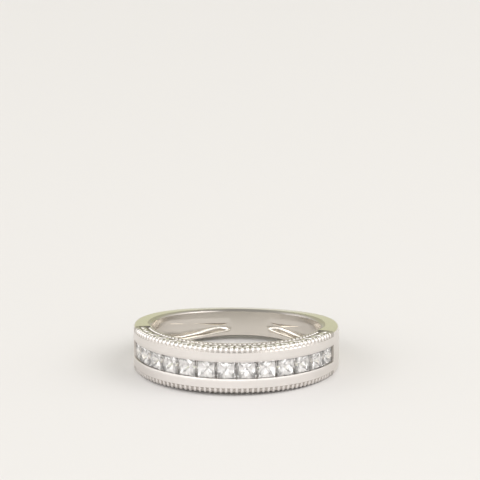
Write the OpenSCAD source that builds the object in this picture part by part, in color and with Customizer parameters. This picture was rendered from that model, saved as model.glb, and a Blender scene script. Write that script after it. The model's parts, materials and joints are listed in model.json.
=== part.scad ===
// A channel set band: a cast ring whose front carries a row of square stones
// between two rails, with beaded corners and a leaf ornament on each side face.
// Lengths are in millimetres. The ring is drawn about its own axis, with the
// middle of its width at z = 0 and its jewelled front towards -Y. It is then
// laid on its side, rocked back on its curved side face to where it balances.

/* [Finger] */
// Inside diameter, about a US 7
bore_d = 17.3; // [15:0.1:22]
// Soft edge along both ends of the finger hole
inner_edge = 0.4; // [0.2:0.05:0.45]

/* [Stones] */
// Number of stones
stone_count = 13; // [5:2:15]
// Side of a square stone
stone_side = 2.0; // [1.8:0.05:2.2]
// Height of a stone's crown, from girdle to table
crown_h = 0.22; // [0.15:0.01:0.3]
// Thickness of a stone's girdle
girdle_h = 0.06; // [0.04:0.01:0.1]
// Depth of a stone's pavilion, from girdle to culet
pavilion_h = 1.12; // [1:0.01:1.3]
// Width of the table as a share of the stone's side
table_share = 0.7; // [0.6:0.01:0.8]
// Gap between neighbouring stones at the girdle
stone_gap = 0.05; // [0.03:0.01:0.1]
// Clearance between a stone and its seat
seat_clear = 0.04; // [0.03:0.01:0.06]
// How far a table lies below the rails
table_sink = 0.2; // [0.15:0.01:0.3]
// Metal-free height between a culet and the finger
culet_clear = 0.25; // [0.15:0.01:0.4]

/* [Rails] */
// How far each rail reaches over the stones
rail_lip = 0.125; // [0.1:0.005:0.15]
// Width of each satin rail
rail_w = 0.965; // [0.8:0.005:1.4]
// Height of the beaded row beside each rail
bead_row_h = 0.58; // [0.5:0.01:0.8]

/* [Shank] */
// Width at the back of the band
back_w = 2.55; // [2.2:0.05:3.5]
// How far in front of the ring's axis the band is widest
widest_ahead = 8.5; // [7:0.1:10]
// Soft edge along the outside of the plain shank
outer_edge = 0.3; // [0.15:0.05:0.35]
// Angle over which that edge fades in behind the jewelled front, degrees
edge_fade = 12; // [8:1:20]
// How far in front of the ring's axis its weight lies, where it balances
balance_ahead = 1.2; // [0.5:0.1:2.5]

/* [Hollow] */
// Width of the hollow inside the shank
hollow_w = 1.7; // [1.65:0.05:1.9]
// Depth of the hollow
hollow_deep = 0.6; // [0.5:0.02:0.65]
// Solid shank left of the middle of the back, seen from the front, degrees
solid_left = 9; // [5:0.5:60]
// Solid shank right of the middle of the back, degrees
solid_right = 15.5; // [5:0.5:60]
// Angle over which each end of the hollow narrows, degrees
hollow_taper = 50; // [40:5:60]
// How much lower the hollow runs on the left of the back than at the front
hollow_drop_left = 0.36; // [0:0.02:0.4]
// How much lower it runs on the right of the back
hollow_drop_right = 0.3; // [0:0.02:0.4]
// Diameter of the window behind each stone
window_d = 1.6; // [1.5:0.05:1.6]
// How far a window reaches up into the stone's seat
window_rise = 0.2; // [0.15:0.01:0.3]
// How much deeper the finger hole is polished across the solid back
back_polish = 0.05; // [0.02:0.01:0.1]
// How far that polish runs past the solid back on the left, degrees
polish_past_left = 5.5; // [2:0.5:15]
// How far it runs past the solid back on the right, degrees
polish_past_right = 11.5; // [2:0.5:15]

/* [Ornament] */
// Distance between the beads of the outer rows
bead_pitch = 0.54; // [0.45:0.01:0.8]
// Distance between the beads of the inner rows
inner_bead_pitch = 0.5; // [0.4:0.01:0.7]
// Depth of the cuts between the outer beads, below the row's two edges
outer_bead_cut = 0.03; // [0.01:0.01:0.06]
// Depth of the cuts between the inner beads
inner_bead_cut = 0.16; // [0.1:0.01:0.2]
// How far each of these cuts runs past its row
bead_cut_past = 0.15; // [0.1:0.01:0.2]
// Opening angle of those cuts, degrees
bead_cut_angle = 66; // [50:1:80]
// Radial width of an outer beaded row on the side face
outer_row_w = 0.46; // [0.4:0.01:0.5]
// Radial width of an inner beaded row
inner_row_w = 0.36; // [0.3:0.01:0.45]
// Depth of the strip that holds the leaves
strip_deep = 0.14; // [0.1:0.01:0.2]
// How far the leaves stand up from the strip's floor
leaf_raise = 0.09; // [0.05:0.01:0.1]
// Distance between leaves
leaf_pitch = 0.8; // [0.7:0.05:1.2]
// Slant of the leaves, degrees
leaf_slant = 35; // [0:5:60]
// How far the ornament runs past the stones at each end, degrees
ornament_past = 0.5; // [0.2:0.1:3]

/* [Hidden] */
function stone_name(i) = str("stone_", i < 9 ? "0" : "", i + 1);

// Sides of a turned form, of a side face and of a window
fine = 180;
side_fine = 720;
window_fine = 48;
// Angle of one step along a softened edge
edge_step = 6;
// How far a cutting shape reaches past the metal
over = 1;
// How far the rounding of the front corners ends over the side face
corner_rise = 0.01;

wall = table_sink + crown_h + girdle_h + pavilion_h + culet_clear;
bore_r = bore_d / 2;
outer_r = bore_r + wall;
opening_w = stone_side - 2 * rail_lip;
front_w = opening_w + 2 * rail_w + 2 * bead_row_h;
front_h = front_w / 2;

// Distances of the stone's levels from the ring's axis
girdle_low = bore_r + culet_clear + pavilion_h;
girdle_top = girdle_low + girdle_h;
stone_pitch = 2 * atan((stone_side + stone_gap) / 2 / girdle_low);
end_reach = atan(stone_side / 2 / girdle_low);
channel_half = (stone_count - 1) / 2 * stone_pitch + end_reach + atan(seat_clear / girdle_low);
deco_half = channel_half + ornament_past;

// Shares of a stone's size that its seat's floor follows: how far down the
// pavilion the seat reaches, and half its width there
seat_deep_share = 0.46;
seat_half_share = 0.34;
seat_floor_r = girdle_low - seat_deep_share * pavilion_h;

// Length and width of a leaf, as shares of the strip's width
leaf_long_share = 1.05;
leaf_wide_share = 0.45;

// Reach of the small flat at a stone's culet, as a share of half its side
culet_share = 0.03;

// Radius of each curved side face, from the widths it joins
side_drop = (front_w - back_w) / 2;
side_reach = widest_ahead + outer_r;
side_r = (pow(side_reach, 2) + pow(side_drop, 2)) / (2 * side_drop);

function side_z(y) = front_h - side_r + sqrt(pow(side_r, 2) - pow(y + widest_ahead, 2));
function around(r, a) = [r * sin(a), -r * cos(a)];
function spread(from, to, n) = [for (i = [0 : n]) from + (to - from) * i / n];

// Mesh swept through rings of equally many points, closed at both ends
module sweep(rings) {
    n = len(rings[0]);
    m = len(rings);
    points = [for (ring = rings) each ring];
    sides = [for (i = [0 : m - 2], j = [0 : n - 1], half = [0, 1])
        let (a = i * n + j, b = i * n + (j + 1) % n, c = a + n, d = b + n)
        half == 0 ? [a, b, d] : [a, d, c]];
    first = [[for (j = [0 : n - 1]) n - 1 - j]];
    last = [[for (j = [0 : n - 1]) (m - 1) * n + j]];
    polyhedron(points, concat(first, sides, last), convexity = 6);
}

// The space between the two curved side faces, each drawn in by inset
module between_sides(inset = 0) {
    intersection_for (side = [-1, 1])
        translate([0, -widest_ahead, side * (front_h - inset - side_r)])
            rotate([0, 90, 0])
                cylinder(r = side_r, h = 2 * outer_r + 4 * over, center = true, $fn = side_fine);
}

// A turned ring of the given outline, kept to the angles either side of the front
module front_ring(half) {
    rotate([0, 0, -90 - half])
        rotate_extrude(angle = 2 * half, $fn = fine)
            children();
}

// Softens one edge of the shank: a wedge cut along it in small steps
module edge_cut(r, outward, size, from, to, side, fade = 0) {
    steps = 4 * ceil((to - from) / (4 * edge_step));
    mid = size * (1 - cos(45));
    past = 0.25 * size;
    profile = [
        [past * 0.4, -size - past],
        [-mid, -mid],
        [-size - past, past * 0.4],
        [size, size]
    ];
    rings = [for (a = spread(from, to, steps))
        [for (k = [0 : 3])
            let (p = profile[outward * side > 0 ? 3 - k : k],
                 rise = fade > 0 ? size * max(0, 1 - min(a - from, to - a) / fade) : 0,
                 at = around(r + outward * (p[0] + rise), a),
                 edge = around(r, a))
            [at[0], at[1], side * (side_z(edge[1]) + p[1] + rise)]]];
    sweep(rings);
}

// Softens the outer edges of the plain shank and both ends of the finger hole
module shank_edges() {
    for (side = [-1, 1]) {
        edge_cut(outer_r, 1, outer_edge, deco_half, 360 - deco_half, side, edge_fade);
        for (from = [0, 180])
            edge_cut(bore_r, -1, inner_edge, from, from + 180, side);
    }
}

// Rounds the outer corners of the jewelled front, in four flats. The rounding
// ends a little over the side face, so that its last flat runs out through it
module corner_cuts() {
    steps = 4;
    top = front_h + corner_rise;
    corner = [for (a = spread(0, 90, steps))
        [outer_r - outer_row_w * (1 - cos(a)), top - outer_row_w * (1 - sin(a))]];
    for (side = [0, 1])
        mirror([0, 0, side])
            front_ring(deco_half)
                polygon(concat(corner, [
                    [outer_r - outer_row_w, front_h + over],
                    [outer_r + over, front_h + over],
                    [outer_r + over, top - outer_row_w]
                ]));
}

// One cut between beads: a V as long as needed, with its point inwards
module bead_notch(length, depth) {
    reach = over / 2;
    spread_w = (reach + depth) * tan(bead_cut_angle / 2);
    linear_extrude(height = length, center = true)
        polygon([[-depth, 0], [reach, spread_w], [reach, -spread_w]]);
}

// The cuts that part the beads of the two rows on each side
module bead_cuts() {
    outer_count = round(2 * deco_half * PI / 180 * outer_r / bead_pitch);
    inner_r = bore_r + inner_edge + inner_row_w / 2;
    inner_count = round(2 * deco_half * PI / 180 * inner_r / inner_bead_pitch);
    slope = atan(outer_row_w / bead_row_h);
    outer_cut_l = norm([outer_row_w, bead_row_h]) + 2 * bead_cut_past;
    for (side = [0, 1])
        mirror([0, 0, side]) {
            for (a = spread(-deco_half, deco_half, outer_count))
                rotate([0, 0, a - 90])
                    translate([outer_r - outer_row_w / 2, 0, front_h - bead_row_h / 2])
                        rotate([0, -slope, 0])
                            bead_notch(outer_cut_l, outer_bead_cut);
            for (a = spread(-deco_half, deco_half, inner_count))
                rotate([0, 0, a - 90])
                    translate([inner_r, 0, side_z(around(inner_r, a)[1])])
                        rotate([0, -90, 0])
                            bead_notch(inner_row_w + 2 * bead_cut_past, inner_bead_cut);
        }
}

// The sunk strip on each side face, with its leaves left standing
module strip_cuts() {
    inner = bore_r + inner_edge + inner_row_w;
    outer = outer_r - outer_row_w;
    strip_w = outer - inner;
    mid = (inner + outer) / 2;
    leaf_l = leaf_long_share * strip_w;
    leaf_w = leaf_wide_share * strip_w;
    leaf_r = (pow(leaf_l, 2) + pow(leaf_w, 2)) / (4 * leaf_w);
    count = round(2 * deco_half * PI / 180 * mid / leaf_pitch);
    step = 2 * deco_half / count;
    for (side = [0, 1])
        mirror([0, 0, side])
            difference() {
                front_ring(deco_half)
                    translate([inner, front_h - over])
                        square([strip_w, 2 * over]);
                between_sides(strip_deep);
                intersection() {
                    union()
                        for (i = [0 : count - 1])
                            rotate([0, 0, -deco_half + (i + 0.5) * step - 90])
                                translate([mid, 0, 0])
                                    rotate([0, 0, (i % 2 == 0 ? 1 : -1) * leaf_slant])
                                        leaf(leaf_w, leaf_r);
                    between_sides(strip_deep - leaf_raise);
                }
            }
}

// A pointed leaf between two arcs, of the given width and arc radius
module leaf(width, r) {
    intersection_for (side = [-1, 1])
        translate([side * (r - width / 2), 0, front_h - over])
            cylinder(r = r, h = 2 * over, $fn = fine);
}

// Outline of the seat under both rails, as turned round the ring's axis
module seat_outline() {
    half_open = opening_w / 2;
    half_seat = stone_side / 2 + seat_clear;
    corner_r = norm([girdle_top, stone_side / 2]);
    lip_r = corner_r + crown_h * rail_lip / (stone_side * (1 - table_share) / 2) + 2 * seat_clear;
    half_floor = seat_half_share * stone_side;
    right = [
        [seat_floor_r, half_floor],
        [girdle_low - seat_clear, half_seat],
        [corner_r + seat_clear, half_seat],
        [lip_r, half_open],
        [outer_r + over, half_open]
    ];
    polygon(concat(right, [for (k = [len(right) - 1 : -1 : 0]) [right[k][0], -right[k][1]]]));
}

// Round windows, one behind each stone, from the hollow up into the seat
module windows() {
    low = bore_r + hollow_deep - seat_clear;
    for (i = [0 : stone_count - 1])
        rotate([0, 0, (i - (stone_count - 1) / 2) * stone_pitch - 90])
            translate([low, 0, 0])
                rotate([0, 90, 0])
                    cylinder(d = window_d, h = seat_floor_r + window_rise - low, $fn = window_fine);
}

// The hollow runs from one side of the back round the front to the other. Its
// two ends taper, and between them it is a plain slot round the ring.
module hollow() {
    slot_back = bore_r * cos(min(solid_left, solid_right) + hollow_taper);
    intersection() {
        cylinder(r = bore_r + hollow_deep, h = front_w, center = true, $fn = 2 * fine);
        union() {
            translate([-outer_r, -outer_r, -hollow_w / 2])
                cube([2 * outer_r, outer_r + slot_back, hollow_w]);
            hollow_end(180 - solid_right, -1, hollow_drop_right, 3);
            hollow_end(solid_left - 180, 1, hollow_drop_left, 2);
        }
    }
}

// One tapered end, cut straight outwards from the middle of its length. Its
// shares of the drop stand in the column for its side.
// Columns: share of the way to full width, width share, drop left, drop right
module hollow_end(tip, turn, drop, column) {
    outline = [
        [0.00, 0.16, 0.85, 0.1],
        [0.03, 0.31, 0.90, 0.3],
        [0.18, 0.52, 0.95, 0.8],
        [0.40, 0.74, 1.00, 1.0],
        [0.70, 0.94, 0.70, 0.7],
        [1.00, 1.00, 0.00, 0.0],
        [1.30, 1.00, 0.00, 0.0]
    ];
    reach = bore_r + hollow_deep;
    function along(row) = turn * reach * sin((row[0] - 0.5) * hollow_taper);
    function middle(row) = -row[column] * drop;
    function half(row) = row[1] * hollow_w / 2;
    upper = [for (row = outline) [along(row), middle(row) + half(row)]];
    lower = [for (row = outline) [along(row), middle(row) - half(row)]];
    last = len(outline) - 1;
    rotate([0, 0, tip + turn * hollow_taper / 2])
        rotate([90, 0, 0])
            linear_extrude(height = outer_r)
                polygon(concat(upper, [for (k = [last : -1 : 0]) lower[k]]));
}

// The part of the finger hole that is polished deeper, across the solid back
module polished_back() {
    right = solid_right + polish_past_right;
    rotate([0, 0, 90 - right])
        rotate_extrude(angle = right + solid_left + polish_past_left, $fn = fine)
            translate([bore_r - over, -front_w])
                square([over + back_polish, 2 * front_w]);
}

// The plain ring, hollowed from the inside
module blank() {
    difference() {
        intersection() {
            cylinder(r = outer_r, h = front_w + 2 * over, center = true, $fn = 2 * fine);
            between_sides();
        }
        cylinder(d = bore_d, h = front_w + 4 * over, center = true, $fn = 2 * fine);
        polished_back();
        hollow();
    }
}

// The ring with its plain edges softened
module softened_blank() {
    difference() {
        blank();
        shank_edges();
    }
}

// The ring with its front corners rounded and the stones' channel cut
module set_blank() {
    difference() {
        softened_blank();
        corner_cuts();
        front_ring(channel_half)
            seat_outline();
        windows();
    }
}

// The ring with its leaf strips
module engraved_blank() {
    difference() {
        set_blank();
        strip_cuts();
    }
}

// The whole cast ring, with its beads parted
module cast_band() {
    difference() {
        engraved_blank();
        bead_cuts();
    }
}

// A square brilliant: each row of the table is one level of eight points.
// Columns: height, reach of the middles of the sides, reach of the corners
module cut_stone() {
    half = stone_side / 2;
    mid_crown = (1 + table_share) / 2;
    levels = [
        [crown_h, table_share + 0.01, table_share],
        [0.5 * crown_h, mid_crown + 0.03, mid_crown + 0.05],
        [0, 1, 1],
        [-girdle_h, 1, 1],
        [-girdle_h - 0.35 * pavilion_h, 0.70, 0.62],
        [-girdle_h - 0.70 * pavilion_h, 0.33, 0.27],
        [-girdle_h - pavilion_h, culet_share, 0.75 * culet_share]
    ];
    rings = [for (level = levels)
        [for (k = [0 : 7])
            let (corner = k % 2 == 1,
                 reach = half * (corner ? level[2] * sqrt(2) : level[1]))
            [reach * cos(45 * k), reach * sin(45 * k), level[0]]]];
    sweep(rings);
}

module seated_stone(i) {
    rotate([0, 0, (i - (stone_count - 1) / 2) * stone_pitch - 90])
        translate([girdle_top, 0, 0])
            rotate([0, 90, 0])
                cut_stone();
}

// Rocks the ring back until its weight is over the point of its side face that
// touches the table, sets that point at z = 0 and centres the ring's box in Y
module at_rest() {
    lean = asin((widest_ahead - balance_ahead) / side_r);
    touch = [-balance_ahead, -side_z(-balance_ahead)];
    lift = -(touch[1] * cos(lean) - touch[0] * sin(lean));
    front_y = -outer_r * cos(lean) - side_z(-outer_r) * sin(lean);
    back_y = outer_r * cos(lean) + side_z(outer_r) * sin(lean);
    translate([0, -(front_y + back_y) / 2, lift])
        rotate([-lean, 0, 0])
            children();
}

module band() {
    color("gainsboro")
        at_rest()
            cast_band();
}

module stone(i) {
    color("white")
        at_rest()
            seated_stone(i);
}

band();
for (i = [0 : stone_count - 1])
    stone(i);
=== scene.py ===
# %% [markdown]
# # A channel set band
#
# This lesson dresses a finished jeweller's model: a cast ring that lies on its
# side, with a row of square stones held in a channel across its front. The
# model gives the sizes and the place of every piece. The work here is the
# finish: satin rails, a polished shank, burnished beads, small leaves and
# stones with real facets. The first cell loads the model and keeps its box.

# %% Load the model
import json
import math

import bmesh
import bpy
from mathutils import Matrix, Vector


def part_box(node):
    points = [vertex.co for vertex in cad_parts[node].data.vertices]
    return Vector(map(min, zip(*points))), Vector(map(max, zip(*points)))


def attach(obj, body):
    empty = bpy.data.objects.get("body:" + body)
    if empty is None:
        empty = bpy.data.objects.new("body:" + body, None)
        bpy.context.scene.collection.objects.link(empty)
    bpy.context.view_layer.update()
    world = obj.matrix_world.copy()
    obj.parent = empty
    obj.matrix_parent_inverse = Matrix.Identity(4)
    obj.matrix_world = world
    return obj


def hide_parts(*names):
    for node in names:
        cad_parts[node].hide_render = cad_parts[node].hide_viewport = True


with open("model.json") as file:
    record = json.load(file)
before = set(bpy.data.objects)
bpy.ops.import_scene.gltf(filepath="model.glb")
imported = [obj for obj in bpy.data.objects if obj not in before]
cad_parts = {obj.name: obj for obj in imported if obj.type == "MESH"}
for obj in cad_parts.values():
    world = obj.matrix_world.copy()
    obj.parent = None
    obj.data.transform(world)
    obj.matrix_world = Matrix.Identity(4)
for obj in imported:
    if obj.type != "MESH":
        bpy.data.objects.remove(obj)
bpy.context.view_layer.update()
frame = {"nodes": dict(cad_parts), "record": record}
print("nodes:", sorted(frame["nodes"]))

# %% [markdown]
# ## Where the ring lies
#
# A ring is easiest to draw about its own axis, with the middle of its width at
# zero. The finger hole of the model says where that axis lies in the resting
# ring, which is rocked back a little on its curved side. So each piece is made
# in the ring's own space, in millimetres, and one matrix lays it down at the
# end. Doing this once keeps every form simple and every piece in step.

# %% The ring's own space
MM_PER_M = 1000
hole = next(m for m in frame["record"]["mounts"] if m["name"] == "finger_bore")
bore_r = hole["dims"]["r_mm"]
axis = Vector(hole["axis"]).normalized()
lean = math.atan2(axis.y, axis.z)
lay_down = (Matrix.Translation(Vector(hole["pos_m"]))
            @ Matrix.Rotation(-lean, 4, "X") @ Matrix.Scale(1 / MM_PER_M, 4))
low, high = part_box("band")
outer_r = (high.x - low.x) * MM_PER_M / 2
print(f"hole radius {bore_r} mm, outer radius {outer_r:.2f} mm, lean {math.degrees(lean):.2f} degrees")


def around(r, a, z):
    """The point at radius r, a degrees round from the front, at height z."""
    return Vector((r * math.sin(math.radians(a)), -r * math.cos(math.radians(a)), z))


def smooth(t):
    """A soft step from 0 to 1."""
    t = min(max(t, 0.0), 1.0)
    return t * t * (3 - 2 * t)


# %% [markdown]
# ## The sizes of the jewelled front
#
# These are the jeweller's sizes, in millimetres and degrees. The stones give
# the pitch of the seats and so the length of the channel, and the two curved
# side faces are arcs that join the wide front to the narrow back.

# %% Sizes of the stones and the sides
# A stone's side, the gap to the next stone and the gap to the wall of its seat
STONE_SIDE, STONE_GAP, SEAT_CLEAR = 2.0, 0.05, 0.04
CROWN_H, GIRDLE_H, PAVILION_H = 0.22, 0.06, 1.12
STONE_COUNT = len([name for name in frame["nodes"] if name.startswith("stone")])
# Metal between a stone's lowest point and the finger hole
CULET_CLEAR = 0.25
# Share of the pavilion that stands above the floor of its seat
SEAT_SHARE = 0.46
# Width of the wall at each end of the channel, in degrees
END_WALL = 0.5
# Half of the ring's width at the front and the back, and how far ahead of its axis it is widest
FRONT_H, BACK_H, WIDEST_AHEAD = 2.42, 1.275, 8.5

girdle_low = bore_r + CULET_CLEAR + PAVILION_H
girdle_top = girdle_low + GIRDLE_H
seat_floor_r = girdle_low - SEAT_SHARE * PAVILION_H
stone_pitch = 2 * math.degrees(math.atan((STONE_SIDE + STONE_GAP) / 2 / girdle_low))
channel_half = ((STONE_COUNT - 1) / 2 * stone_pitch
                + math.degrees(math.atan(STONE_SIDE / 2 / girdle_low))
                + math.degrees(math.atan(SEAT_CLEAR / girdle_low)))
front_half = channel_half + END_WALL
side_reach = WIDEST_AHEAD + outer_r
side_drop = FRONT_H - BACK_H
side_r = (side_reach ** 2 + side_drop ** 2) / (2 * side_drop)


def side_z(y):
    """Height of the upper side face over the middle of the ring's width."""
    return FRONT_H - side_r + math.sqrt(side_r ** 2 - (y + WIDEST_AHEAD) ** 2)


def stone_angle(i):
    """Angle of a stone from the front, counted from the left."""
    return (i - (STONE_COUNT - 1) / 2) * stone_pitch


print(f"{STONE_COUNT} stones every {stone_pitch:.2f} degrees, channel to {channel_half:.2f} degrees")

# %% [markdown]
# ## Materials: one metal, six finishes
#
# The ring is one alloy, a warm white gold, and the bench leaves it in several
# states; three of them also carry painted shade in their colour. All of these
# share the same hair lines. A painted picture of lines would show its pixels on
# a close look, so the lines are a node group that is built once. It stretches
# noise round the ring, because a finger wears a band along its turn, and it
# puts out a roughness, a height and a tone that change over the surface.

# %% A group for hair lines
# Metres of noise for a radian round the ring, where the metal has about 0.01,
# and the scale of the clouds that vary the roughness
LINE_STRETCH, CLOUD_SCALE = 0.0006, 420


def add_node(tree, kind, at, **values):
    """Adds a node at a place in the tree and sets its plain properties."""
    node = tree.nodes.new(kind)
    node.location = at
    for name, value in values.items():
        setattr(node, name, value)
    return node


def make_hairlines():
    """Fine lines that run round the ring, as roughness, height and tone."""
    tree = bpy.data.node_groups.new("ring_hairlines", "ShaderNodeTree")
    face = tree.interface
    for name in ("Roughness", "Spread", "Lines"):
        face.new_socket(name, in_out="INPUT", socket_type="NodeSocketFloat")
    for name in ("Roughness", "Height", "Tone"):
        face.new_socket(name, in_out="OUTPUT", socket_type="NodeSocketFloat")
    start = add_node(tree, "NodeGroupInput", (-1200, 0))
    end = add_node(tree, "NodeGroupOutput", (500, 0))
    place = add_node(tree, "ShaderNodeTexCoord", (-1200, 300))
    upright = add_node(tree, "ShaderNodeMapping", (-1000, 300), vector_type="TEXTURE")
    upright.inputs["Location"].default_value = hole["pos_m"]
    upright.inputs["Rotation"].default_value = (-lean, 0, 0)
    parts = add_node(tree, "ShaderNodeSeparateXYZ", (-820, 300))
    angle = add_node(tree, "ShaderNodeMath", (-640, 380), operation="ARCTAN2")
    along = add_node(tree, "ShaderNodeMath", (-460, 380), operation="MULTIPLY")
    along.inputs[1].default_value = LINE_STRETCH
    unrolled = add_node(tree, "ShaderNodeCombineXYZ", (-280, 300))
    noise = add_node(tree, "ShaderNodeTexNoise", (-100, 200))
    noise.inputs["Detail"].default_value = 3
    noise.inputs["Roughness"].default_value = 0.7
    cloud = add_node(tree, "ShaderNodeTexNoise", (-100, -100))
    cloud.inputs["Scale"].default_value = CLOUD_SCALE
    both = add_node(tree, "ShaderNodeMath", (60, 60), operation="ADD")
    centred = add_node(tree, "ShaderNodeMath", (200, -80), operation="SUBTRACT")
    centred.inputs[1].default_value = 1.0
    spread = add_node(tree, "ShaderNodeMath", (240, 100), operation="MULTIPLY")
    total = add_node(tree, "ShaderNodeMath", (360, 0), operation="ADD")
    link = tree.links.new
    link(place.outputs["Object"], upright.inputs["Vector"])
    link(upright.outputs["Vector"], parts.inputs["Vector"])
    link(parts.outputs["X"], angle.inputs[0])
    link(parts.outputs["Y"], angle.inputs[1])
    link(angle.outputs[0], along.inputs[0])
    link(along.outputs[0], unrolled.inputs["X"])
    link(parts.outputs["Z"], unrolled.inputs["Y"])
    link(unrolled.outputs["Vector"], noise.inputs["Vector"])
    link(start.outputs["Lines"], noise.inputs["Scale"])
    link(place.outputs["Object"], cloud.inputs["Vector"])
    link(noise.outputs["Fac"], both.inputs[0])
    link(cloud.outputs["Fac"], both.inputs[1])
    link(both.outputs[0], centred.inputs[0])
    link(centred.outputs[0], spread.inputs[0])
    link(start.outputs["Spread"], spread.inputs[1])
    link(spread.outputs[0], total.inputs[0])
    link(start.outputs["Roughness"], total.inputs[1])
    link(total.outputs[0], end.inputs["Roughness"])
    link(noise.outputs["Fac"], end.inputs["Height"])
    link(noise.outputs["Fac"], end.inputs["Tone"])
    return tree


hairlines = make_hairlines()
print("group:", hairlines.name, [s.name for s in hairlines.interface.items_tree])

# %% [markdown]
# ### The six finishes
#
# Rails are drawn over fine abrasive and stay satin. The shank and the side
# faces are polished. The inside is polished less and looks warmer; its darker
# colour is painted shade for the shaded inside of the ring. Beads and leaves
# are burnished. The sunk ground, the walls of the opening and of the channel's
# ends and the edge of the finger hole behind the front get a darker colour,
# which is painted shade and painted dark reflection, darkest in the strip under
# the leaves. Each finish is the same metal with its own colour, roughness and
# lines, so one function makes them all.

# %% The finishes of the metal
GOLD = (0.80, 0.765, 0.735, 1)
LINE_DEEP_M = 0.00001


def make_gold(name, roughness, spread, lines, depth, colour=GOLD, tone=0.03):
    """A finish of the ring's metal, with its own roughness and hair lines."""
    material = bpy.data.materials.new(name)
    material.use_nodes = True
    tree = material.node_tree
    shader = tree.nodes["Principled BSDF"]
    shader.inputs["Metallic"].default_value = 1.0
    wear = add_node(tree, "ShaderNodeGroup", (-520, 100), node_tree=hairlines)
    shade = add_node(tree, "ShaderNodeMix", (-260, 260), data_type="RGBA")
    for socket, change in (("A", 1 - tone), ("B", 1 + tone)):
        tint = next(s for s in shade.inputs if s.name == socket and s.type == "RGBA")
        tint.default_value = [min(c * change, 1) for c in colour]
    tree.links.new(wear.outputs["Tone"], shade.inputs["Factor"])
    mixed = next(s for s in shade.outputs if s.type == "RGBA")
    tree.links.new(mixed, shader.inputs["Base Color"])
    wear.inputs["Roughness"].default_value = roughness
    wear.inputs["Spread"].default_value = spread
    wear.inputs["Lines"].default_value = lines
    bump = add_node(tree, "ShaderNodeBump", (-260, -160))
    bump.inputs["Strength"].default_value = depth
    bump.inputs["Distance"].default_value = LINE_DEEP_M
    tree.links.new(wear.outputs["Roughness"], shader.inputs["Roughness"])
    tree.links.new(wear.outputs["Height"], bump.inputs["Height"])
    tree.links.new(bump.outputs["Normal"], shader.inputs["Normal"])
    return material


satin = make_gold("satin_gold", roughness=0.34, spread=0.10, lines=9000, depth=0.35,
                  colour=(0.765, 0.73, 0.70, 1), tone=0.06)
polished = make_gold("polished_gold", roughness=0.12, spread=0.05, lines=5000, depth=0.08)
# Darker colour than the polished finish: painted shade for the shaded inside of the ring
inside = make_gold("inside_gold_painted_shade", roughness=0.20, spread=0.08, lines=5000, depth=0.1,
                   colour=(0.74, 0.70, 0.64, 1))
burnished = make_gold("burnished_gold", roughness=0.30, spread=0.06, lines=5000, depth=0.05,
                      colour=(0.77, 0.738, 0.71, 1))
# Darker colour: painted shade and painted dark reflection in the sunk ground, the end walls and the
# finger hole's edge
ground = make_gold("recess_gold_painted_shade", roughness=0.30, spread=0.15, lines=12000, depth=0.5,
                   colour=(0.50, 0.465, 0.43, 1))
# Darkest colour: painted shade in the sunk strip under the leaves
deep_ground = make_gold("strip_gold_painted_shade", roughness=0.30, spread=0.15, lines=12000, depth=0.5,
                        colour=(0.34, 0.31, 0.28, 1))
print("finishes:", [m.name for m in (satin, polished, inside, burnished, ground, deep_ground)])

# %% [markdown]
# ## The stones' material
#
# A colourless stone is glass with a high index of refraction. That index, not
# a colour, makes its facets flash: light that meets a back facet at a shallow
# angle is thrown back out of the front. It stays plain, with no pattern, so
# the facets alone draw the stone. Transmission a little under one leaves a
# faint white haze. It stands for the many small flashes of a real stone, which
# run together when the stone is only a few dozen pixels wide.

# %% Stone
stone_glass = bpy.data.materials.new("clear_stone")
stone_glass.use_nodes = True
glass = stone_glass.node_tree.nodes["Principled BSDF"]
glass.inputs["Base Color"].default_value = (1, 0.985, 0.97, 1)
glass.inputs["Roughness"].default_value = 0.0
glass.inputs["Metallic"].default_value = 0.0
glass.inputs["Transmission Weight"].default_value = 0.88
glass.inputs["IOR"].default_value = 2.1
print("stone index of refraction", round(glass.inputs["IOR"].default_value, 2))

# %% [markdown]
# ## From a bmesh to a piece
#
# Every piece ends in the same way. Its bmesh is laid down by the matrix, so
# that the object itself stays at the origin, and it then gets its finishes,
# its soft or sharp shading and the body that it rides with. A helper does this
# for all of them, so no piece can miss a step.

# %% A helper for pieces
def add_piece(name, bm, materials, replaces=(), sharp=None):
    """Lays a finished bmesh down as a piece that rides with the ring."""
    bmesh.ops.transform(bm, matrix=lay_down, verts=bm.verts)
    mesh = bpy.data.meshes.new(name)
    bm.to_mesh(mesh)
    bm.free()
    for material in materials:
        mesh.materials.append(material)
    if sharp is not None:
        mesh.shade_smooth()
        mesh.set_sharp_from_angle(angle=math.radians(sharp))
    piece = bpy.data.objects.new(name, mesh)
    bpy.context.scene.collection.objects.link(piece)
    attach(piece, "root")
    if replaces:
        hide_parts(*replaces)
    return piece


# %% [markdown]
# ## The cast band
#
# A ring like this could be cut with booleans from a disc, but those leave long
# thin faces that show in a polished surface. A cleaner way is to draw one
# closed section with a point for each edge of the channel, corner, strip,
# finger hole and hollow, and to spin it once round the axis. Every quad then
# runs along the ring. After the spin each point slides to its place for its
# own angle: at the front it draws rails and channel, and behind the front the
# same points lie in the plain shank.
#
# The hollow inside saves metal. Towards the back it narrows, sinks a little
# and ends, and its two ends differ. Its width and drop stand in a table,
# because a few chosen widths are easier to set than a formula.

# %% The hollow behind the stones
# Half width and depth of the hollow at the front
HOLLOW_H, HOLLOW_DEEP = 0.85, 0.6
# Degrees from the middle of the back to each end of the hollow, and its taper
SOLID_LEFT, SOLID_RIGHT, TAPER = 9, 15.5, 50
# Share of the taper in which the hollow gets its full depth
SINK_SHARE = 0.18
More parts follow.
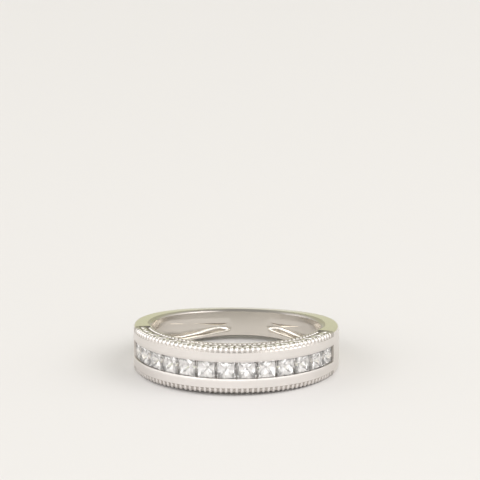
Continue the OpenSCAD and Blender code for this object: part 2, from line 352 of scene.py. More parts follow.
# Columns: share of the way to full width, half width, drop on the left, drop on the right
TAPER_TABLE = [
    (0.00, 0.18, 0.30, 0.02),
    (0.03, 0.34, 0.34, 0.10),
    (0.18, 0.46, 0.42, 0.28),
    (0.40, 0.62, 0.48, 0.34),
    (0.70, 0.80, 0.40, 0.25),
    (1.00, 0.85, 0.00, 0.00),
]


def hollow_way(a):
    """Share of the taper that the hollow has passed at an angle from the front."""
    return (180 - abs(a) - (SOLID_LEFT if a < 0 else SOLID_RIGHT)) / TAPER


def hollow_at(a):
    """Half width, middle and depth of the hollow at an angle from the front."""
    drop = 2 if a < 0 else 3
    from_back = 180 - abs(a)
    way = hollow_way(a)
    if way < 0:
        t = (SOLID_LEFT + math.copysign(from_back, a)) / (SOLID_LEFT + SOLID_RIGHT)
        left, right = TAPER_TABLE[0][2:]
        return TAPER_TABLE[0][1], -left - (right - left) * t, 0.0
    if way >= 1:
        return HOLLOW_H, 0.0, HOLLOW_DEEP
    for before, after in zip(TAPER_TABLE, TAPER_TABLE[1:]):
        if before[0] <= way <= after[0]:
            t = (way - before[0]) / (after[0] - before[0])
            return (before[1] + (after[1] - before[1]) * t,
                    -before[drop] - (after[drop] - before[drop]) * t,
                    HOLLOW_DEEP * smooth(way / SINK_SHARE))


print("hollow at the front and at 150 degrees:", hollow_at(0), hollow_at(150))

# %% [markdown]
# ### How the section changes round the ring
#
# The cells below draw the upper half of the section, from the middle of the
# channel outwards, over the corner and the side face, and back down the finger
# hole. Each point has its place at the front and its place in the shank. The
# edges of front and shank differ a little in size, and a hard step from one to
# the other would show as a dent, so they fade over a few degrees. Across the
# solid back the hole is polished a little deeper, which narrows its edge.

# %% Edges that change with the angle
# Radius of the outer corner at the front and in the shank, and the degrees between
CORNER_R, OUTER_EDGE, EDGE_FADE = 0.28, 0.3, 12
# Width of the finger hole's edge at the front and in the shank
FRONT_INNER_EDGE, INNER_EDGE = 0.2, 0.45
# Depth of the polish, and how far it runs past the hollow's end on each side
POLISH_DEEP, POLISH_LEFT, POLISH_RIGHT, POLISH_FADE = 0.05, 5.5, 11.5, 4


def in_front(a):
    """True across the jewelled front."""
    return abs(a) < front_half


def fade_at(a):
    """0 across the jewelled front and 1 in the plain shank."""
    return smooth((abs(a) - front_half) / EDGE_FADE)


def polish_at(a, fade):
    """1 across the solid back, where the hole is polished deeper, and 0 elsewhere."""
    past = SOLID_LEFT + POLISH_LEFT if a < 0 else SOLID_RIGHT + POLISH_RIGHT
    return smooth((past - (180 - abs(a))) / fade + 0.5)


def rim_at(a):
    """Radius of the finger hole's wall."""
    return bore_r + POLISH_DEEP * polish_at(a, POLISH_FADE)


def outer_edge_at(a):
    """Radius of the rounded outer corner."""
    return CORNER_R + (OUTER_EDGE - CORNER_R) * fade_at(a)


def hole_edge_at(a):
    """Width of the finger hole's edge."""
    full = FRONT_INNER_EDGE + (INNER_EDGE - FRONT_INNER_EDGE) * fade_at(a)
    return full - POLISH_DEEP * polish_at(a, POLISH_FADE)


def face_at(a, r):
    """Height of the side face at radius r."""
    return side_z(-r * math.cos(math.radians(a)))


print("width of the hole's edge at 0, 90 and 180 degrees:",
      [round(hole_edge_at(a), 2) for a in (0, 90, 180)])

# %% [markdown]
# ### Channel and rail
#
# The stones sit in seats that are cut in under the rails. From the middle
# outwards the section crosses the floor of the seats, goes up their wall, in
# under the rail and up the wall of the opening. There it turns over a fine
# edge onto the flat rail. In the shank the same points share out its flat
# outside, so the rail and the shank are one smooth surface.

# %% Channel and rail
# Width of the rail's fine edge, and the share of it that its middle point is set back
EDGE, EDGE_MIDDLE = 0.02, 0.3
# Half widths of the opening and of the floor of the seats
OPENING_H, SEAT_FLOOR_H = 0.875, 0.66
# How far the seat's wall goes past the girdle, and the rail's foot past a stone's corner
SEAT_OVER, RAIL_OVER = 0.09, 0.172
seat_h = STONE_SIDE / 2 + SEAT_CLEAR
rail_foot_r = math.hypot(girdle_top, STONE_SIDE / 2) + RAIL_OVER
# Columns: front radius, front height, share of the shank's flat outside
CHANNEL = [
    (seat_floor_r, 0.0, 0.0),
    (seat_floor_r, SEAT_FLOOR_H, 0.14),
    (girdle_low - SEAT_CLEAR, seat_h, 0.25),
    (girdle_top + SEAT_OVER, seat_h, 0.34),
    (rail_foot_r, OPENING_H, 0.42),
    (outer_r - EDGE, OPENING_H, 0.48),
    (outer_r - EDGE_MIDDLE * EDGE, OPENING_H + EDGE_MIDDLE * EDGE, 0.50),
    (outer_r, OPENING_H + EDGE, 0.52),
    (outer_r, 1.15, 0.64),
    (outer_r, 1.50, 0.80),
]
# The rows of the table at the foot and the top of the opening's wall
WALL_FOOT, WALL_TOP = 4, 5


def channel_points(a):
    """Seat, opening and rail at the front, and the flat outside of the shank."""
    if in_front(a):
        return [(r, z) for r, z, share in CHANNEL]
    flat = face_at(a, outer_r) - outer_edge_at(a)
    return [(outer_r, share * flat) for r, z, share in CHANNEL]


print("height of the opening's wall:", round(CHANNEL[WALL_TOP][0] - CHANNEL[WALL_FOOT][0], 2), "mm")

# %% [markdown]
# ### The outer corner
#
# The wheel that rolls the beads presses the metal between them down, so the
# long beads on the corner stand in a shallow ground. That ground follows the
# rounded corner, and so do the beads, which come later. One function bends
# both of them over the corner, so they can't part. The ground gets shallower
# towards the ends of the row and meets the plain rounding of the shank.

# %% Outer corner
# How far the row of long beads reaches down the outside and in over the side face
BEAD_ROW_H, BEAD_ROW_W = 0.58, 0.46
# Depth of the ground, degrees in which it fades out, and share of it that slopes in
GROOVE_DEEP, GROOVE_FADE, GROOVE_SLOPE = 0.12, 10, 0.2
CORNER_STEPS = 6


def bend(way, out, round_r):
    """Point on a path up a face and over a rounded corner, from the corner's centre.

    It lies a way past the start of the rounding and is moved outwards by out.
    """
    if way <= 0:
        return round_r + out, way
    quarter = round_r * math.pi / 2
    if way >= quarter:
        return quarter - way, round_r + out
    turn = way / round_r
    return (round_r + out) * math.cos(turn), (round_r + out) * math.sin(turn)


def groove(t, top, deep):
    """Point (r, z) at a share of the way over the corner, on the ground of the long beads."""
    straight = BEAD_ROW_H - CORNER_R
    long = straight + CORNER_R * math.pi / 2 + BEAD_ROW_W - CORNER_R
    r, z = bend(t * long - straight, -deep * smooth(t / GROOVE_SLOPE), CORNER_R)
    return outer_r - CORNER_R + r, top - CORNER_R + z


def corner_points(a):
    """The rail's edge and the ground of the long beads, or the shank's rounded corner."""
    edge = outer_edge_at(a)
    foot = BEAD_ROW_H if in_front(a) else edge
    deep = GROOVE_DEEP * smooth((front_half - abs(a)) / GROOVE_FADE)
    points = [(outer_r, face_at(a, outer_r) - (foot + EDGE))]
    for k in range(CORNER_STEPS + 1):
        t = k / CORNER_STEPS
        if in_front(a):
            points.append(groove(t, face_at(a, outer_r - BEAD_ROW_W * t), deep))
        else:
            turn = math.radians(90 * t)
            r = outer_r - edge * (1 - math.cos(turn))
            points.append((r, face_at(a, r) - edge * (1 - math.sin(turn))))
    return points


print("points over the corner:", len(corner_points(0)))

# %% [markdown]
# ### The side face
#
# Across the front each side face has a sunk strip for the leaves and, beside
# the finger hole, a second ground for the round beads, with a low ridge between
# the two. Both are cut with a graver, so their walls slope. In the shank the
# same points are shared out over the plain face.

# %% Side face
# Width of the round beads' ground, and the depths of the strip, the ridge and that ground
INNER_ROW_W, STRIP_DEEP, RIDGE_DEEP, ROW_DEEP = 0.36, 0.14, 0.06, 0.19
# Degrees in which both grounds rise to the face at their ends
STRIP_FADE = 2
# Widths of the sloping walls, and a hair that keeps two edges apart
WALL_SLOPE, ROW_SLOPE, HAIR = 0.03, 0.04, 0.005
inner_row = bore_r + FRONT_INNER_EDGE
strip_in = inner_row + INNER_ROW_W
strip_out = outer_r - BEAD_ROW_W
# Columns: front radius, depth under the side face, share of the shank's face
FACE = [
    (strip_out - HAIR, GROOVE_DEEP, 0.05),
    (strip_out - WALL_SLOPE, STRIP_DEEP, 0.16),
    (strip_in + WALL_SLOPE, STRIP_DEEP, 0.45),
    (strip_in, RIDGE_DEEP, 0.55),
    (strip_in - ROW_SLOPE, ROW_DEEP, 0.65),
    (inner_row + WALL_SLOPE + ROW_SLOPE, ROW_DEEP, 0.85),
    (inner_row + WALL_SLOPE, 2 * HAIR, 0.95),
]


def face_points(a):
    """The sunk grounds of the front, or the plain side face of the shank."""
    if in_front(a):
        sunk = smooth((front_half - abs(a)) / STRIP_FADE)
        return [(r, face_at(a, r) - depth * sunk) for r, depth, share in FACE]
    from_r = outer_r - outer_edge_at(a)
    wide = from_r - rim_at(a) - hole_edge_at(a)
    radii = [from_r - share * wide for r, depth, share in FACE]
    return [(r, face_at(a, r)) for r in radii]


print(f"strip for the leaves: {strip_out - strip_in:.2f} mm wide")

# %% [markdown]
# ### The edge of the finger hole
#
# A worn edge is round, but this one was filed after the casting: its curve
# runs smoothly out of the side face and meets the wall of the hole in a soft
# crease. An arc that stops short of its full quarter does that. Across the
# polished back it goes over into a flat chamfer.

# %% Edge of the finger hole
# Degrees by which the arc stops short, and degrees in which it goes over into the chamfer
CREASE_TURN, CHAMFER_FADE = 32, 12


def hole_edge_points(a):
    """From the side face over the edge of the finger hole to its wall."""
    rim, wide = rim_at(a), hole_edge_at(a)
    crease = math.radians(CREASE_TURN) * fade_at(a)
    chamfer = polish_at(a, CHAMFER_FADE)
    arc_r = wide / math.cos(crease)
    drop = arc_r * (1 - math.sin(crease))
    points = []
    for k in range(CORNER_STEPS + 1):
        t = k / CORNER_STEPS
        turn = math.pi / 2 - (math.pi / 2 - crease) * t
        across = wide - arc_r * math.cos(turn)
        down = arc_r * (1 - math.sin(turn))
        r = rim + across + (wide * (1 - t) - across) * chamfer
        points.append((r, face_at(a, r) - down - (drop * t - down) * chamfer))
    return points


print("foot of the edge at 90 degrees:", [round(x, 2) for x in hole_edge_points(90)[-1]])

# %% [markdown]
# ### The wall of the hole and the hollow
#
# Beside the hollow a land of the hole's wall touches the finger. The hollow
# has a fine rounded rim, so that nothing scratches. Its section is round at
# its two tips and squarer further on, where it holds its full width. Where it
# is shut its points lie on the wall of the solid back.

# %% Wall and hollow
# Least width of the land, and the depth under which the hollow counts as shut
LEAST_LAND, SHUT_DEEP = 0.04, 0.05
# Columns: depth and rise of the rim where the hollow is open, rise where it is shut
HOLLOW_RIM = [(0.00, 0.05, 0.05), (0.02, 0.01, 0.03), (0.05, 0.00, 0.00)]
# Shares of the taper: where the round tip ends, and how long it goes over
TIP_END, TIP_FADE = 0.15, 0.4
# Roundness of the section at full width; 1 is an ellipse and 0 a square
LEAST_ROUND = 0.3
# Degrees along the side of the hollow at which the section has a point
SIDE_TURNS = (25, 50, 72)


def hollow_points(a, side, edge_z):
    """From the hole's edge down its wall and up the side of the hollow.

    The side is 1 in the upper half and -1 in the lower half.
    """
    rim = rim_at(a)
    half, middle, deep = hollow_at(a)
    foot = min(half + middle * side, edge_z - LEAST_LAND)
    tip = 1 - smooth((hollow_way(a) - TIP_END) / TIP_FADE)
    roundness = LEAST_ROUND + (1 - LEAST_ROUND) * tip
    points = [(rim, 0.5 * (edge_z + foot))]
    shut = deep < SHUT_DEEP
    for sunk, rise, shut_rise in HOLLOW_RIM:
        points.append((rim, foot + shut_rise) if shut else (rim + sunk, foot + rise))
    mid = middle * side
    for turn in SIDE_TURNS:
        up = math.sin(math.radians(turn)) ** roundness
        over = 1 - (1 - math.cos(math.radians(turn))) * roundness
        points.append((rim + deep * up, mid + (foot - mid) * over))
    return points


print("side of the hollow at the front:", [round(r, 2) for r, z in hollow_points(0, 1, 2.0)])

# %% [markdown]
# ### The whole section
#
# The lower half is the upper half turned over, except for the hollow, which
# isn't in the middle near the back. So both halves come from the same
# functions, and one point in the ceiling of the hollow joins them.

# %% The whole section
def half_section(a, side):
    """Points (r, z) of the upper or lower half of the section at angle a."""
    outside = channel_points(a) + corner_points(a) + face_points(a)
    edge = hole_edge_points(a)
    return outside + edge + hollow_points(a, side, edge[-1][1])


def whole_section(a):
    """The closed section at angle a, as points (r, z)."""
    _, middle, deep = hollow_at(a)
    below = [(r, -z) for r, z in reversed(half_section(a, -1)[1:])]
    return half_section(a, 1) + [(rim_at(a) + deep, middle)] + below


print("points in the section:", len(whole_section(0)), len(whole_section(180)))

# %% [markdown]
# ### Spin it
#
# The spin makes a plain ring with a section at every degree. The two sections
# that are nearest to the end of the channel move to its exact angle and to the
# end of its wall, so that the end wall is as steep as a graver cuts it.

# %% Spin the section and slide each point to its place
STEPS = 360


def angle_of(co):
    """Angle of a point from the front, in whole steps, with the channel's ends exact."""
    a = round(math.degrees(math.atan2(co.x, -co.y)) * STEPS / 360) * 360 / STEPS
    whole = math.floor(channel_half)
    exact = {whole: channel_half, whole + 1: front_half}
    return math.copysign(exact.get(abs(a), abs(a)), a)


band = bmesh.new()
row_of = band.verts.layers.int.new("row")
section = whole_section(0)
loop = []
for row, (r, z) in enumerate(section):
    vert = band.verts.new(around(r, 0, z))
    vert[row_of] = row
    loop.append(vert)
edges = [band.edges.new((a, b)) for a, b in zip(loop, loop[1:] + loop[:1])]
bmesh.ops.spin(band, geom=loop + edges, cent=(0, 0, 0), axis=(0, 0, 1),
               angle=2 * math.pi, steps=STEPS, use_merge=True)
sections = {}
for vert in band.verts:
    a = angle_of(vert.co)
    if a not in sections:
        sections[a] = whole_section(a)
    r, z = sections[a][vert[row_of]]
    vert.co = around(r, a, z)
bmesh.ops.recalc_face_normals(band, faces=band.faces)
print("band:", len(band.verts), "points,", len(band.faces), "faces,", len(sections), "sections")

# %% [markdown]
# ### Which face gets which finish
#
# A jeweller polishes what a wheel reaches and leaves the sunk ground as it was
# cut, rougher. The darker colour of that ground, of the walls of the opening
# and of the channel's ends, of the finger hole's edge behind the front and of
# the inside is painted shade. Faces could be picked by hand, but here each
# point still knows its row in the section, so a face's rows and its angle say
# which part it belongs to.

# %% Give each face its finish
band_finishes = [satin, polished, ground, inside, deep_ground]
SATIN, POLISHED, SHADED_GROUND, SHADED_INSIDE, SHADED_STRIP = range(len(band_finishes))
upper_rows = len(half_section(0, 1))
rail_to = len(CHANNEL) + 1
strip_from = rail_to + CORNER_STEPS + 1
strip_to = strip_from + len(FACE) - 1
bore_from = strip_to + CORNER_STEPS + 1


def mirrored(row):
    """The row of the upper half that a row stands for."""
    return row if row <= upper_rows else len(section) - row


def finish_of(face):
    """The finish of a face, from the rows of its corners and its angle."""
    rows = [mirrored(v[row_of]) for v in face.verts]
    first, last = min(rows), max(rows)
    middle = face.calc_center_median()
    a = abs(math.degrees(math.atan2(middle.x, -middle.y)))
    opening_wall = a < channel_half and set(rows) == {WALL_FOOT, WALL_TOP}
    end_wall = channel_half < a < front_half and last <= WALL_TOP
    hole_edge = a > front_half and bore_from - CORNER_STEPS <= first and last <= bore_from
    bead_ground = a < front_half and rail_to <= first and last <= strip_from
    strip = a < front_half and strip_from <= first and last <= strip_to
    # The walls of the opening and of the channel's ends get the darker colour, as painted shade
    if opening_wall or end_wall:
        return SHADED_GROUND
    if last <= rail_to:
        return SATIN
    # The finger hole's edge behind the front and the ground of the long beads get the darker colour, as
    # painted shade and painted dark reflection
    if hole_edge or bead_ground:
        return SHADED_GROUND
    # The strip under the leaves gets the darkest colour, as painted shade
    if strip:
        return SHADED_STRIP
    # The inside gets a darker colour, as painted shade
    return SHADED_INSIDE if first >= bore_from else POLISHED


for face in band.faces:
    face.material_index = finish_of(face)
print("faces with each finish:",
      [sum(f.material_index == k for f in band.faces) for k in range(len(band_finishes))])

# %% [markdown]
# ### Windows
#
# Behind each stone a round window lets light in and lets a brush reach the
# stone. Thirteen round holes through a thin curved web are one place where a
# boolean is the right tool: the cut faces are small and hidden.

# %% Cut the windows
WINDOW_R, WINDOW_SIDES = 0.8, 32
# How far a drill reaches over the seat's floor and past the hollow
DRILL_OVER, DRILL_PAST = 0.2, 0.05
BAND_SHARP = 32
band_piece = add_piece("cast_band", band, band_finishes, ["band"])
drills = bmesh.new()
web = seat_floor_r - bore_r - HOLLOW_DEEP
for i in range(STONE_COUNT):
    a = stone_angle(i)
    middle = seat_floor_r - web / 2 + (DRILL_OVER - DRILL_PAST) / 2
    at_stone = Matrix.Rotation(math.radians(a), 4, "Z") @ Matrix.Translation((0, -middle, 0))
    bmesh.ops.create_cone(drills, cap_ends=True, segments=WINDOW_SIDES,
                          radius1=WINDOW_R, radius2=WINDOW_R,
                          depth=web + DRILL_OVER + DRILL_PAST,
                          matrix=at_stone @ Matrix.Rotation(math.radians(90), 4, "X"))
bmesh.ops.transform(drills, matrix=lay_down, verts=drills.verts)
drill_mesh = bpy.data.meshes.new("window_drills")
drills.to_mesh(drill_mesh)
drills.free()
drill_mesh.materials.append(polished)
drill = bpy.data.objects.new("window_drills", drill_mesh)
bpy.context.scene.collection.objects.link(drill)
cut = band_piece.modifiers.new("windows", "BOOLEAN")
cut.operation = "DIFFERENCE"
cut.solver = "EXACT"
cut.object = drill
shown = band_piece.evaluated_get(bpy.context.evaluated_depsgraph_get())
pierced = bpy.data.meshes.new_from_object(shown)
band_piece.modifiers.clear()
band_piece.data = pierced
pierced.shade_smooth()
pierced.set_sharp_from_angle(angle=math.radians(BAND_SHARP))
bpy.data.objects.remove(drill)
print("faces after the windows:", len(pierced.polygons))

# %% [markdown]
# ## Beads
#
# A milgrain row is rolled with a small wheel that leaves a string of beads.
# Those on the outer corners are stretched into bars that wrap the corner, and
# those by the finger hole stay round. A bar could be a box with rounded ends,
# but a sphere whose rings are spread along the same bent path as the ground
# keeps its ends full and its faces few, and there are over a hundred of them.

# %% Bead rows
# Step from one long bead to the next, its width along the row and its thickness
BEAD_PITCH, BAR_WIDE, BAR_THICK = 0.54, 0.36, 0.34
# How far a bar starts below its row, into the rail
BAR_UNDER = 0.26
# Step and width of the round beads
INNER_PITCH, ROUND_WIDE = 0.5, 0.34
# Rise of the round beads over the side face, and how many degrees sooner they end
ROUND_RISE, ROUND_SHORT = 0.02, 4
bar_round = CORNER_R - BAR_THICK / 2
bar_straight = BEAD_ROW_H - CORNER_R + BAR_UNDER
bar_long = bar_straight + bar_round * math.pi / 2 + BEAD_ROW_W - CORNER_R


def bar(bm, place):
    """One bar: a ball whose middle rings are spread along a path over the corner.

    The rings within 45 degrees of a pole make the round ends, at twice their
    angle, and the others share out the straight part between the ends.
    """
    verts = bmesh.ops.create_uvsphere(bm, u_segments=8, v_segments=10, radius=1)["verts"]
    for vert in verts:
        x, y, z = vert.co
        polar = math.acos(min(max(z, -1), 1))
        cap = min(2 * min(polar, math.pi - polar), math.pi / 2)
        wide = math.sin(cap) / max(math.sin(polar), 1e-6) / 2
        end = BAR_WIDE / 2 * math.cos(cap) * math.copysign(1, z)
        share = min(max(1.5 - 2 * polar / math.pi, 0), 1)
        along = BAR_WIDE / 2 + (bar_long - BAR_WIDE) * share + end
        out, up = bend(along - bar_straight, x * wide * BAR_THICK, bar_round)
        vert.co = Vector((out, y * wide * BAR_WIDE, up))
    bmesh.ops.transform(bm, matrix=place, verts=verts)


def ball(bm, place):
    """One round bead."""
    bmesh.ops.create_uvsphere(bm, u_segments=10, v_segments=6, radius=ROUND_WIDE / 2, matrix=place)


def bead_row(name, make, r, under, pitch, reach):
    """Beads on both sides, up to an angle from the front, centred at radius r."""
    bm = bmesh.new()
    count = round(2 * math.radians(reach) * r / pitch)
    step = 2 * reach / count
    for side in (1, -1):
        for i in range(count):
            a = -reach + (i + 0.5) * step
            z = side_z(around(r, a, 0).y) - under
            make(bm, Matrix.Diagonal((1, 1, side, 1)) @ Matrix.Rotation(math.radians(a - 90), 4, "Z")
                 @ Matrix.Translation((r, 0, z)))
    bmesh.ops.recalc_face_normals(bm, faces=bm.faces)
    print(name, 2 * count, "beads")
    return add_piece(name, bm, [burnished], sharp=180)


bead_row("outer_beads", bar, outer_r - CORNER_R, CORNER_R, BEAD_PITCH, front_half)
bead_row("inner_beads", ball, inner_row + INNER_ROW_W / 2, ROUND_WIDE / 2 - ROUND_RISE, INNER_PITCH,
         front_half - ROUND_SHORT)

# %% [markdown]
# ## Leaves
#
# The sunk strip between the bead rows holds a common leaf ornament: small
# pointed leaves that lean to one side and the other in turn. A leaf is a flat
# sphere whose sides are drawn in towards its tips, with its middle pressed
# down for the vein.

# %% Leaf strips
# Step from leaf to leaf, slant in degrees and half of a leaf's thickness
LEAF_PITCH, LEAF_SLANT, LEAF_RAISE = 0.8, 35, 0.13
# Length and width of a leaf as shares of the strip's width
LEAF_LONG, LEAF_WIDE = 1.05, 0.56
# Share by which its tips are drawn in; share of its height left in the vein; the vein's width
LEAF_POINT, VEIN_HIGH, VEIN_WIDE = 0.55, 0.55, 0.12
strip_mid = (strip_in + strip_out) / 2
leaf_l = LEAF_LONG * (strip_out - strip_in) / 2
leaf_w = LEAF_WIDE * (strip_out - strip_in) / 2


def leaf(bm, place):
    """One pointed leaf, long in Y, raised in Z."""
    verts = bmesh.ops.create_uvsphere(bm, u_segments=12, v_segments=8, radius=1)["verts"]
    bmesh.ops.rotate(bm, verts=verts, cent=(0, 0, 0), matrix=Matrix.Rotation(math.radians(90), 3, "X"))
    for vert in verts:
        x, y, z = vert.co
        narrow = 1 - LEAF_POINT * y * y
        vein = VEIN_HIGH if abs(x) < VEIN_WIDE and z > 0 else 1.0
        vert.co = Vector((x * narrow * leaf_w, y * leaf_l, z * vein * LEAF_RAISE))
    bmesh.ops.transform(bm, matrix=place, verts=verts)


leaves = bmesh.new()
leaf_count = round(2 * math.radians(front_half) * strip_mid / LEAF_PITCH)
leaf_step = 2 * front_half / leaf_count
for side in (1, -1):
    for i in range(leaf_count):
        a = -front_half + (i + 0.5) * leaf_step
        z = side_z(around(strip_mid, a, 0).y) - STRIP_DEEP
        slant = LEAF_SLANT if i % 2 == 0 else -LEAF_SLANT
        leaf(leaves, Matrix.Rotation(math.radians(a - 90), 4, "Z")
             @ Matrix.Translation((strip_mid, 0, side * z))
             @ Matrix.Rotation(math.radians(slant), 4, "Z"))
bmesh.ops.recalc_face_normals(leaves, faces=leaves.faces)
add_piece("leaf_ornament", leaves, [burnished], sharp=60)
print("leaves:", 2 * leaf_count)

# %% [markdown]
# ## Square stones
#
# A cutter starts from a block and grinds one flat after another, and a bmesh
# can do the same: a cube is cut by a plane for each facet, and the cut is
# closed again. The table lists each ring of facets by how far its direction is
# turned from the middle of a side, by its steepness, and by the height and
# reach of one point on it. Facets that meet in pairs along the corners give a
# square stone the crossed lights in it.

# %% Cut one stone
# Columns: turn from the side's middle, slope, height of a point on it in millimetres,
# reach of that point as a share of half a side
FACETS = [
    (0, 56, 0.0, 1.0),
    (0, 40, 0.13, 0.912),
    (22, 40, 0.15, 1.12),
    (45, 34, 0.15, 1.22),
    (0, -60, -GIRDLE_H, 1.0),
    (0, -46, -1.20, 0.0),
    (12, -52, -1.38, 0.0),
    (18, -47, -1.27, 0.0),
    (24, -43, -1.19, 0.0),
    (36, -42.5, -1.22, 0.0),
    (45, -39, -1.15, 0.0),
]
# Distances under which the cutter takes two points for one
CUT_NEAR, MERGE_NEAR = 1e-6, 1e-5


def cut_facet(bm, turn, slope, height, reach):
    """Grinds one flat and closes the cut."""
    steep = math.radians(slope)
    out = Vector((math.cos(turn), math.sin(turn), 0))
    normal = out * math.sin(abs(steep)) + Vector((0, 0, math.copysign(math.cos(steep), slope)))
    made = bmesh.ops.bisect_plane(bm, geom=bm.verts[:] + bm.edges[:] + bm.faces[:], dist=CUT_NEAR,
                                  plane_co=out * reach + Vector((0, 0, height)),
                                  plane_no=normal, clear_outer=True)
    rim = [e for e in made["geom_cut"] if isinstance(e, bmesh.types.BMEdge)]
    if len(rim) > 2:
        bmesh.ops.edgeloop_fill(bm, edges=rim)


def cut_stone():
    """A square brilliant about its own axis, with the girdle's top at zero."""
    bm = bmesh.new()
    depth = CROWN_H + GIRDLE_H + PAVILION_H
    block = Matrix.Translation((0, 0, CROWN_H - depth / 2))
    bmesh.ops.create_cube(bm, size=1, matrix=block @ Matrix.Diagonal((STONE_SIDE, STONE_SIDE, depth, 1)))
    for turn, slope, height, reach in FACETS:
        for quarter in range(4):
            turns = {turn, -turn} if turn < 45 else {turn}
            for extra in turns:
                cut_facet(bm, math.radians(90 * quarter + extra), slope, height,
                          reach * STONE_SIDE / 2)
    bmesh.ops.remove_doubles(bm, verts=bm.verts, dist=MERGE_NEAR)
    bmesh.ops.recalc_face_normals(bm, faces=bm.faces)
    return bm


pattern = cut_stone()
print("facets:", len(pattern.faces), "closed:", all(e.is_manifold for e in pattern.edges),
      "low point %.3f" % min(v.co.z for v in pattern.verts))

# %% [markdown]
# ### Set the stones
#
# A setter presses each stone down by hand, so no two lie quite alike. Copies
# of one pattern that all lay the same would flash together, which looks
# printed. Each copy is therefore tipped by a fraction of a degree along the
# row, by a wave that has no step in common with the stones.

# %% Set the stones
# Largest tip in degrees, and the wave's step from stone to stone in radians
TIP_MOST, TIP_STEP = 0.5, 2.3
for i in range(STONE_COUNT):
    name = f"stone_{i + 1:02d}"
    a = stone_angle(i)
    tip = Matrix.Rotation(math.radians(TIP_MOST * math.sin(TIP_STEP * i)), 4, "X")
    seat = (Matrix.Rotation(math.radians(a - 90), 4, "Z") @ Matrix.Translation((girdle_top, 0, 0))
            @ Matrix.Rotation(math.radians(90), 4, "Y") @ tip)
    bm = pattern.copy()
    bmesh.ops.transform(bm, matrix=seat, verts=bm.verts)
    add_piece("cut_" + name, bm, [stone_glass], [name])
pattern.free()
print("stones set:", STONE_COUNT)

# %% [markdown]
# ## Floor, light and camera
#
# Metal and stones show what is round them, so the light matters as much as
# the finish. A pale floor fills the lower half of every reflection. Over it a
# pale surround stands for a studio of white card. In front and at the sides
# the card is bright and patchy, which makes neighbouring facets differ. Behind
# the ring it is even and a little green. Overhead it is dim, which draws the
# darker band along the inner edge. Two large soft lamps give the upper
# surfaces their shape.

# %% Floor
FLOOR_HALF_M = 2
FLOOR_PAPER = (0.69, 0.673, 0.66, 1)
floor_bm = bmesh.new()
bmesh.ops.create_grid(floor_bm, x_segments=1, y_segments=1, size=FLOOR_HALF_M)
floor_mesh = bpy.data.meshes.new("floor")
floor_bm.to_mesh(floor_mesh)
floor_bm.free()
floor = bpy.data.objects.new("floor", floor_mesh)
bpy.context.scene.collection.objects.link(floor)
paper = bpy.data.materials.new("floor_paper")
paper.use_nodes = True
paper_shader = paper.node_tree.nodes["Principled BSDF"]
paper_shader.inputs["Base Color"].default_value = FLOOR_PAPER
paper_shader.inputs["Roughness"].default_value = 0.7
floor_mesh.materials.append(paper)
print("floor:", 2 * FLOOR_HALF_M, "m wide")

# %% [markdown]
# ### The surround
#
# A photographed ring mirrors the whole room. Real cards could stand round it,
# but nodes on the world are quicker to tune and throw no hard edges into the
# polish. The green goes by how far behind the ring a direction points, the
# strength by that, by soft patches and by height.

# %% Surround
CARD_WHITE, BACK_GREEN = (0.98, 0.975, 0.97, 1), (0.68, 0.68, 0.48, 1)
# Where the green behind the ring starts and is full; 0 is ahead, 1 is behind
GREEN_FROM, GREEN_FULL = 0.75, 0.93
# Size of the card's patches, the noise that counts as dark and bright, and their strength
PATCH_SCALE, PATCH_DARK, PATCH_BRIGHT = 4.0, 0.42, 0.58
CARD_LEAST, CARD_MOST = 1.3, 2.2
# How far back the even card starts and is full, and how high the dim part does
EVEN_FROM, EVEN_FULL = 0.2, 0.6
DIM_FROM, DIM_FULL, DIM_LEFT = 0.65, 0.85, 0.35
scene = bpy.context.scene
world = bpy.data.worlds.new("studio")
scene.world = world
world.use_nodes = True
sky = world.node_tree
back = sky.nodes["Background"]


def between(at, source, start, full, low=0.0, high=1.0):
    """A value that goes evenly from low to high while its source goes from start to full."""
    node = add_node(sky, "ShaderNodeMapRange", at)
    values = {"From Min": start, "From Max": full, "To Min": low, "To Max": high}
    for name, value in values.items():
        node.inputs[name].default_value = value
    sky.links.new(source, node.inputs["Value"])
    return node.outputs["Result"]


ray = add_node(sky, "ShaderNodeTexCoord", (-1100, 0))
split = add_node(sky, "ShaderNodeSeparateXYZ", (-900, 0))
ramp = add_node(sky, "ShaderNodeValToRGB", (-500, 300))
for stop, position, colour in zip(ramp.color_ramp.elements, (GREEN_FROM, GREEN_FULL),
                                  (CARD_WHITE, BACK_GREEN)):
    stop.position = position
    stop.color = colour
# Turns the part of a direction that points back, from -1 to 1, into 0 to 1
half_way = add_node(sky, "ShaderNodeMath", (-700, 300), operation="MULTIPLY_ADD")
half_way.inputs[1].default_value = 0.5
half_way.inputs[2].default_value = 0.5
sky.links.new(ray.outputs["Generated"], split.inputs["Vector"])
sky.links.new(split.outputs["Y"], half_way.inputs[0])
sky.links.new(half_way.outputs[0], ramp.inputs["Fac"])
patches = add_node(sky, "ShaderNodeTexNoise", (-700, 0))
patches.inputs["Scale"].default_value = PATCH_SCALE
patches.inputs["Detail"].default_value = 0
sky.links.new(ray.outputs["Generated"], patches.inputs["Vector"])
card = between((-500, 0), patches.outputs["Fac"], PATCH_DARK, PATCH_BRIGHT, CARD_LEAST, CARD_MOST)
evenness = between((-500, -300), split.outputs["Y"], EVEN_FROM, EVEN_FULL)
overhead = between((-500, -600), split.outputs["Z"], DIM_FROM, DIM_FULL, 1.0, DIM_LEFT)
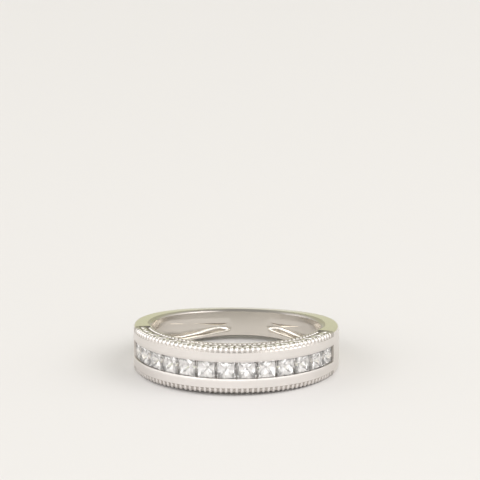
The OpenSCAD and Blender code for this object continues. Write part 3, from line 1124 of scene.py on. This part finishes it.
# Sockets 2 and 3 are the two numbers that this node mixes
evened = add_node(sky, "ShaderNodeMix", (-300, 0))
evened.inputs[3].default_value = 1.0
sky.links.new(evenness, evened.inputs["Factor"])
sky.links.new(card, evened.inputs[2])
strength = add_node(sky, "ShaderNodeMath", (-150, 0), operation="MULTIPLY")
sky.links.new(evened.outputs[0], strength.inputs[0])
sky.links.new(overhead, strength.inputs[1])
sky.links.new(strength.outputs[0], back.inputs["Strength"])
sky.links.new(ramp.outputs["Color"], back.inputs["Color"])
print("surround:", len(sky.nodes), "nodes")

# %% [markdown]
# ### The lamps
#
# Small lamps would leave hard white dots on the beads. A large square lamp is
# seen in the metal as a soft patch, as a studio's soft box is. The key stands
# to the right and the fill, at a little over half its power, to the left.

# %% Lamps
# Places and size in metres, power in watts
LAMP_WARM, LAMP_SIZE_M = (1.0, 0.98, 0.96), 0.5


def soft_lamp(name, at, power):
    """A square soft lamp that faces the ring."""
    light = bpy.data.lights.new(name, "AREA")
    light.shape = "SQUARE"
    light.size = LAMP_SIZE_M
    light.energy = power
    light.color = LAMP_WARM
    lamp = bpy.data.objects.new(name, light)
    lamp.location = at
    lamp.rotation_euler = (-Vector(at)).to_track_quat("-Z", "Y").to_euler()
    scene.collection.objects.link(lamp)


soft_lamp("key_lamp", at=(0.45, -0.10, 0.50), power=1.5)
soft_lamp("fill_lamp", at=(-0.45, -0.35, 0.40), power=0.9)

# %% [markdown]
# ## The camera
#
# The ring is small and the picture is taken from more than half a metre away
# with a long lens, so it shows almost no perspective. The camera looks down at
# a low angle, a few degrees from the right. The ring sits below the middle of
# the picture, so the camera is first aimed at it and then swung by the angle of
# that offset.

# %% Camera
# Where the middle of the ring is in the picture, the picture's side and the focal length,
# in pixels, and the width of the camera's sensor
RING_AT_PX = (236.3, 344.4)
FRAME_PX, FOCAL_PX, SENSOR_MM = 480, 5209, 36
# Distance in metres, and three angles in degrees
CAMERA_AWAY, CAMERA_TURN, CAMERA_UP, CAMERA_ROLL = 0.533, 5.8, 17.35, 0.31
centre = Vector(hole["pos_m"])
turn, up = math.radians(CAMERA_TURN), math.radians(CAMERA_UP)
view_from = Vector((math.sin(turn) * math.cos(up), -math.cos(turn) * math.cos(up), math.sin(up)))
camera_data = bpy.data.cameras.new("camera")
camera_data.sensor_width = SENSOR_MM
camera_data.lens = SENSOR_MM * FOCAL_PX / FRAME_PX
camera_data.dof.use_dof = False
camera = bpy.data.objects.new("camera", camera_data)
scene.collection.objects.link(camera)
camera.location = centre + view_from * CAMERA_AWAY
aim = (-view_from).to_track_quat("-Z", "Y").to_matrix().to_4x4()
tip_up = math.atan((RING_AT_PX[1] - FRAME_PX / 2) / FOCAL_PX)
swing = math.atan((RING_AT_PX[0] - FRAME_PX / 2) / FOCAL_PX)
camera.rotation_euler = (aim @ Matrix.Rotation(math.radians(-CAMERA_ROLL), 4, "Z")
                         @ Matrix.Rotation(tip_up, 4, "X")
                         @ Matrix.Rotation(swing, 4, "Y")).to_euler()
scene.camera = camera
scene.view_settings.view_transform = "Standard"
print("camera at", tuple(round(x, 4) for x in camera.location))
